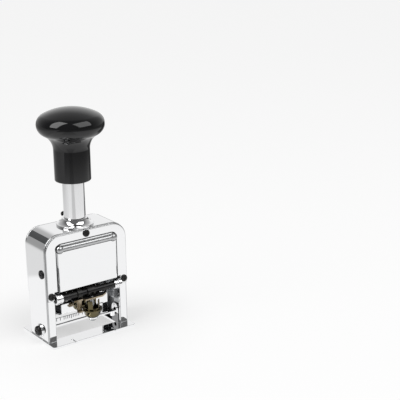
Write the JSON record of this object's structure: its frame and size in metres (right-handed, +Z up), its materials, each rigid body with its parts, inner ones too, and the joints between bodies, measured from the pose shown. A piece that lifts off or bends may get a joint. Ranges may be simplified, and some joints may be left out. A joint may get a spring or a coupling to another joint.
{
  "type": "numbering machine",
  "caption": "Hand numbering machine: arched chrome casing on a base plate with a printing window, sprung plunger with a black mushroom knob, number wheels, ink pad and repeat dial.",
  "frame": {"origin": "bottom centre of the bounding box, under the plunger's axis", "axes": "+Z up along the plunger, -Y towards the front cover, +X to the right seen from the front"},
  "size_m": [0.0726, 0.0474, 0.1639],
  "materials": {
    "chrome": "polished",
    "chrome_tube": "polished",
    "black_screw": "blackened",
    "black_rod": "blackened",
    "knob_black": "glossy",
    "steel": "plain",
    "spring_steel": "wound",
    "wheel_black": "blackened",
    "brass": "worn",
    "felt": "inked felt"
  },
  "bodies": {
    "casing": {"frame": "chrome", "base_plate": "chrome", "front_cover": "chrome", "rear_cover": "chrome", "front_cover_screws": "black_screw", "rear_cover_screws": "black_screw", "side_screws": "black_screw", "base_screws": "black_screw", "base_screw_washers": "chrome", "collar": "chrome", "left_guide_rail": "steel", "right_guide_rail": "steel", "spring_crossbar": "steel", "spring_seat": "steel", "front_rod": "black_rod", "rod_collars": "chrome", "dial_bracket": "brass", "dial_stud": "steel", "count_finger": "brass", "dial_nut": "chrome", "latch_spring": "spring_steel", "return_spring": "spring_steel"},
    "plunger_head": {"plunger_tube": "chrome_tube", "knob": "knob_black", "knob_plug": "steel", "wheel_carrier": "steel", "guide_shoes": "steel", "wheel_axle": "steel", "axle_nuts": "steel", "carrier_tie_rod": "steel", "detent_comb": "steel", "spacers": "steel"},
    "feed_pawl_unit": {"pawl_yoke": "steel", "feed_pawl": "brass"},
    "pad_unit": {"pad_carrier": "chrome", "pad_tray": "chrome", "ink_pad": "felt"},
    "dial": {"repeat_dial": "brass", "dial_lever": "chrome"},
    "latch": {"latch_button": "black_screw"},
    "number_wheel_1_body": {"number_wheel_1": "wheel_black"},
    "number_wheel_2_body": {"number_wheel_2": "wheel_black"},
    "number_wheel_3_body": {"number_wheel_3": "wheel_black"},
    "number_wheel_4_body": {"number_wheel_4": "wheel_black"},
    "number_wheel_5_body": {"number_wheel_5": "wheel_black"},
    "number_wheel_6_body": {"number_wheel_6": "wheel_black"},
    "repeat_ratchet_body": {"repeat_ratchet": "wheel_black"}
  },
  "joints": [
    {"name": "plunger", "type": "slide", "parent": "casing", "child": "plunger_head", "axis": [0, 0, -1], "range_m": [0, 0.022], "stiffness_N_per_m": 600, "springref_m": -0.015, "deforming": ["return_spring"]},
    {"name": "pad_swing", "type": "hinge", "parent": "plunger_head", "child": "pad_unit", "pos_m": [0, 0, 0.0312], "axis": [1, 0, 0], "range_deg": [0, 124]},
    {"name": "pawl_swing", "type": "hinge", "parent": "plunger_head", "child": "feed_pawl_unit", "pos_m": [0, 0, 0.0312], "axis": [1, 0, 0], "range_deg": [-24, 0]},
    {"name": "dial_turn", "type": "hinge", "parent": "casing", "child": "dial", "pos_m": [0.0013, -0.0166, 0.0146], "axis": [0, 0, 1], "range_deg": [-15, 18]},
    {"name": "latch_push", "type": "slide", "parent": "casing", "child": "latch", "axis": [0, -1, 0], "range_m": [0, 0.0012], "stiffness_N_per_m": 300, "springref_m": -0.001},
    {"name": "number_wheel_1_turn", "type": "hinge", "parent": "plunger_head", "child": "number_wheel_1_body", "pos_m": [0, 0, 0.0312], "axis": [1, 0, 0], "continuous": true},
    {"name": "number_wheel_2_turn", "type": "hinge", "parent": "plunger_head", "child": "number_wheel_2_body", "pos_m": [0, 0, 0.0312], "axis": [1, 0, 0], "continuous": true},
    {"name": "number_wheel_3_turn", "type": "hinge", "parent": "plunger_head", "child": "number_wheel_3_body", "pos_m": [0, 0, 0.0312], "axis": [1, 0, 0], "continuous": true},
    {"name": "number_wheel_4_turn", "type": "hinge", "parent": "plunger_head", "child": "number_wheel_4_body", "pos_m": [0, 0, 0.0312], "axis": [1, 0, 0], "continuous": true},
    {"name": "number_wheel_5_turn", "type": "hinge", "parent": "plunger_head", "child": "number_wheel_5_body", "pos_m": [0, 0, 0.0312], "axis": [1, 0, 0], "continuous": true},
    {"name": "number_wheel_6_turn", "type": "hinge", "parent": "plunger_head", "child": "number_wheel_6_body", "pos_m": [0, 0, 0.0312], "axis": [1, 0, 0], "continuous": true},
    {"name": "repeat_ratchet_turn", "type": "hinge", "parent": "plunger_head", "child": "repeat_ratchet_body", "pos_m": [0, 0, 0.0312], "axis": [1, 0, 0], "continuous": true}
  ],
  "couplings": [
    {"joint": "pad_swing", "follows": "plunger", "rad_per_m": 98.373},
    {"joint": "pawl_swing", "follows": "plunger", "rad_per_m": -19.04}
  ]
}
